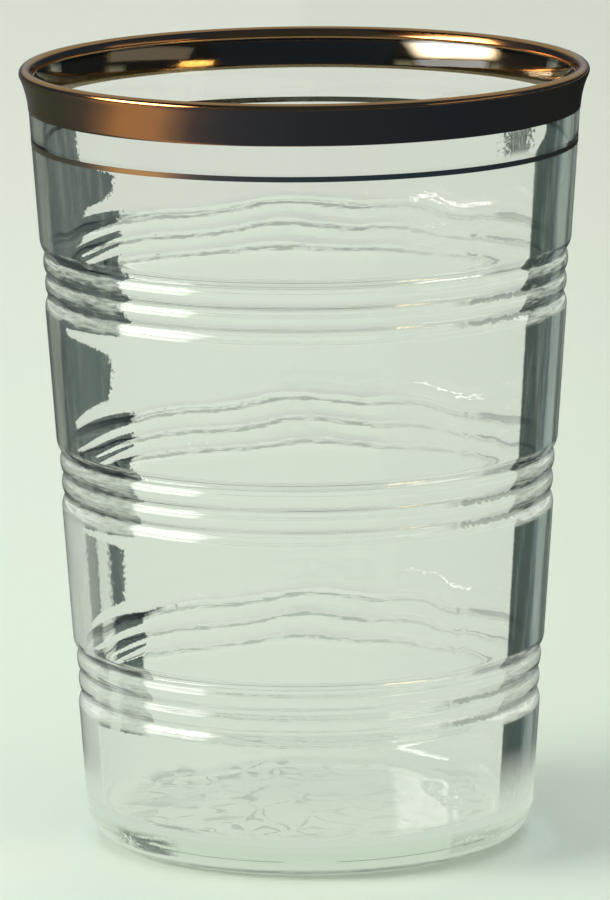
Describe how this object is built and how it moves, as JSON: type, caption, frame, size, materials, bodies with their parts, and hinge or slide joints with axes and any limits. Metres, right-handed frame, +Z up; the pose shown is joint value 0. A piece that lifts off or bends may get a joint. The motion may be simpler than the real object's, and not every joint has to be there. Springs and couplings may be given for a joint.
{
  "type": "chai glass",
  "caption": "Clear tapered tumbler for hot tea, with groups of moulded rings round the wall, a flared lip with a gold band and a gold hairline below it.",
  "frame": {"origin": "centre of the bearing ring, in the plane that the glass stands on", "axes": "+Z up along the axis of the glass; the side that faces -Y is the side seen in the picture"},
  "size_m": [0.0662, 0.0662, 0.0911],
  "materials": {
    "clear_glass": "fire-polished clear glass with a faint green tint in its thick parts",
    "fired_gold": "thin fired gold, satin outside and mirror-like where it is seen through the wall"
  },
  "bodies": {
    "root": {"glass_tumbler": "clear_glass", "rim_gilding": "fired_gold", "hairline_gilding": "fired_gold"}
  },
  "joints": []
}
